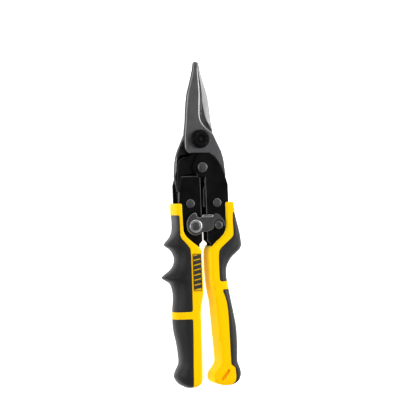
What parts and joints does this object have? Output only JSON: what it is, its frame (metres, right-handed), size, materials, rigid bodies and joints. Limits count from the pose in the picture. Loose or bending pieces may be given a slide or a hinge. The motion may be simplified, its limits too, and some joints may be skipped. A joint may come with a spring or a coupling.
{
  "type": "aviation snips",
  "caption": "Straight-cut compound-leverage snips with long pointed jaws, pressed frames, a swinging latch, a return spring and two-tone moulded grips.",
  "frame": {"origin": "on the jaw pivot's axis, in the plane that the snips lie on", "axes": "+Y towards the jaw tips, +X towards the thumb-side handle, +Z out of the face that carries the latch"},
  "size_m": [0.0647, 0.2544, 0.0226],
  "materials": {
    "forged_steel": "forged and ground tool steel, satin",
    "black_hardware": "black oxide, semi-gloss",
    "black_frame": "black powder coat, semi-gloss",
    "rivet_steel": "satin steel",
    "zinc_steel": "zinc plated",
    "spring_steel": "oiled spring wire",
    "latch_steel": "tumbled, dull",
    "bright_steel": "bright plated",
    "yellow_plastic": "moulded, fine satin texture",
    "grey_rubber": "soft over-moulded, satin",
    "black_inlay": "printed strip, matte"
  },
  "bodies": {
    "left_handle": {"left_frame": "black_frame", "handle_rivet": "rivet_steel", "spring_bush": "zinc_steel", "return_spring": "spring_steel", "left_tail_rivet": "rivet_steel", "left_tail_spacer": "zinc_steel", "left_tail_washer": "zinc_steel", "latch_rivet": "rivet_steel", "latch_spacer": "zinc_steel", "latch_washer": "bright_steel", "left_grip_core": "yellow_plastic", "left_upper_pad": "grey_rubber", "left_lower_pad": "grey_rubber", "grip_badge": "black_inlay"},
    "right_handle": {"right_frame": "black_frame", "right_tail_rivet": "rivet_steel", "right_tail_spacer": "zinc_steel", "right_tail_washer": "zinc_steel", "catch_stud": "rivet_steel", "right_grip_core": "yellow_plastic", "right_upper_pad": "grey_rubber", "right_lower_pad": "grey_rubber"},
    "rear_jaw": {"rear_jaw": "forged_steel", "pivot_bolt": "black_hardware", "rear_pivot_washer": "black_hardware", "front_pivot_washer": "black_hardware", "pivot_nut": "black_hardware"},
    "front_jaw": {"front_jaw": "forged_steel"},
    "latch": {"latch": "latch_steel"}
  },
  "joints": [
    {"name": "handle_open", "type": "hinge", "parent": "left_handle", "child": "right_handle", "pos_m": [0, -0.0224, 0.01], "axis": [0, 0, 1], "range_deg": [0, 36], "deforming": ["return_spring"]},
    {"name": "rear_jaw_turn", "type": "hinge", "parent": "left_handle", "child": "rear_jaw", "pos_m": [-0.0109, -0.0503, 0.01], "axis": [0, 0, 1], "range_deg": [0, 9]},
    {"name": "front_jaw_turn", "type": "hinge", "parent": "rear_jaw", "child": "front_jaw", "pos_m": [0, 0, 0.01], "axis": [0, 0, 1], "range_deg": [0, 20]},
    {"name": "latch_swing", "type": "hinge", "parent": "left_handle", "child": "latch", "pos_m": [-0.008, -0.068, 0.02], "axis": [0, 0, 1], "range_deg": [0, 60]}
  ],
  "couplings": [
    {"joint": "rear_jaw_turn", "follows": "handle_open", "ratio": 0.2352},
    {"joint": "front_jaw_turn", "follows": "handle_open", "ratio": 0.5296}
  ]
}
